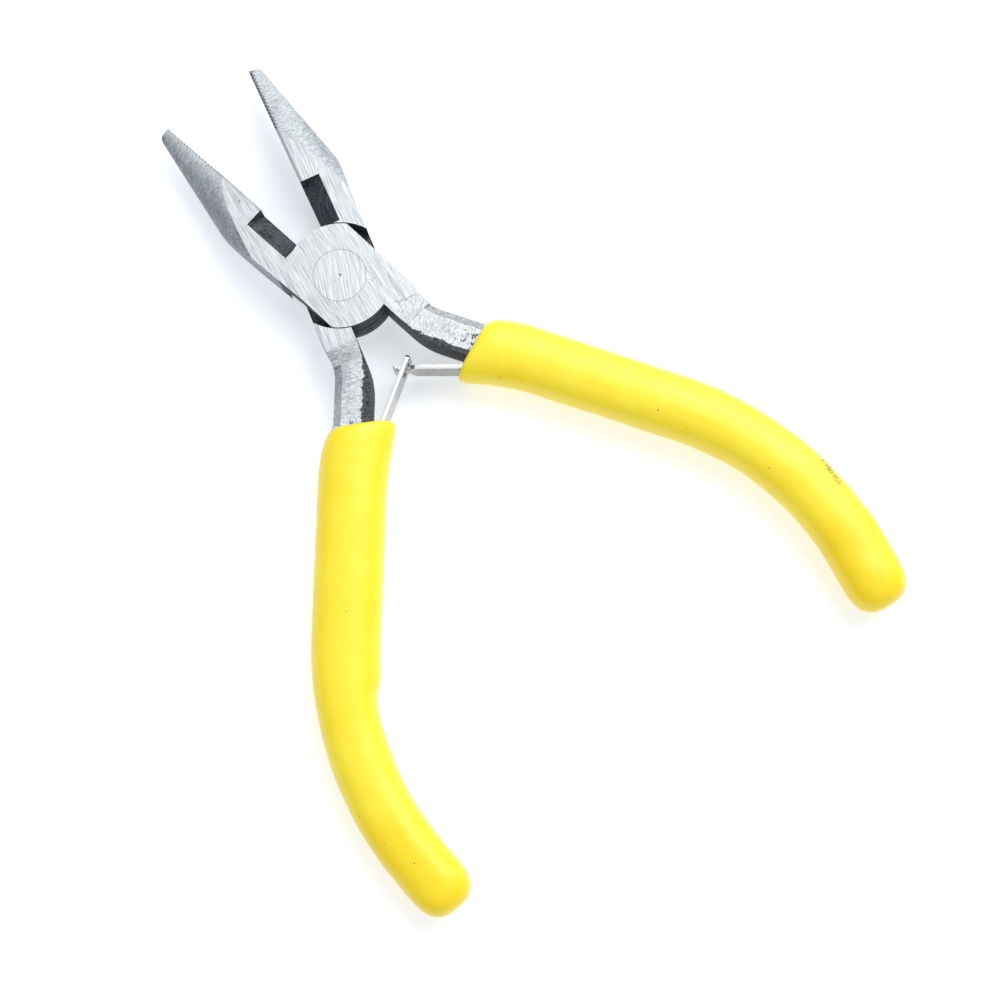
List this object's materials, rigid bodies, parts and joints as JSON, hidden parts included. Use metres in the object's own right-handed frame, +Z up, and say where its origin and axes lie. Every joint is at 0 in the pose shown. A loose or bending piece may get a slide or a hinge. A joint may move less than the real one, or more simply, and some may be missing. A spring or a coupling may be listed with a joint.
{
  "type": "needle nose pliers",
  "caption": "Needle nose pliers with serrated tapering jaws, a side cutter, a flush pivot rivet, dipped yellow grips and linked leaf springs that hold them open.",
  "frame": {"origin": "on the pivot axis, in the middle of the rivet's lower head, flush with the underside of the joint", "axes": "+Y from the pivot towards the jaw tips along the tool's middle plane, +Z up along the pivot axis, +X towards the handle of the upper lever"},
  "size_m": [0.0852, 0.1196, 0.0086],
  "materials": {
    "forged_steel": "ground bright on the faces, dark as forged in the recesses",
    "rivet_steel": "ground flush",
    "dipped_vinyl": "soft satin gloss",
    "spring_steel": "polished strip"
  },
  "bodies": {
    "upper_lever": {"upper_lever": "forged_steel", "pivot_rivet": "rivet_steel", "right_grip": "dipped_vinyl", "right_leaf_root": "spring_steel", "right_leaf_rivet": "rivet_steel"},
    "lower_lever": {"lower_lever": "forged_steel", "left_grip": "dipped_vinyl", "left_leaf_root": "spring_steel", "left_leaf_rivet": "rivet_steel"},
    "right_leaf": {"right_leaf_blade": "spring_steel"},
    "left_leaf": {"left_leaf_blade": "spring_steel"}
  },
  "joints": [
    {"name": "pivot", "type": "hinge", "parent": "upper_lever", "child": "lower_lever", "pos_m": [0, 0, 0.0035], "axis": [0, 0, 1], "range_deg": [0, 23.6], "stiffness_Nm_per_rad": 0.4, "springref_deg": -20.05},
    {"name": "right_leaf_flex", "type": "hinge", "parent": "upper_lever", "child": "right_leaf", "pos_m": [0.01035, -0.02373, 0.0035], "axis": [0, 0, 1], "range_deg": [-18.55, 0]},
    {"name": "left_leaf_flex", "type": "hinge", "parent": "lower_lever", "child": "left_leaf", "pos_m": [-0.01035, -0.02373, 0.0035], "axis": [0, 0, 1], "range_deg": [0, 18.55]}
  ],
  "couplings": [
    {"joint": "right_leaf_flex", "follows": "pivot", "ratio": -0.78574},
    {"joint": "left_leaf_flex", "follows": "pivot", "ratio": 0.78574}
  ]
}
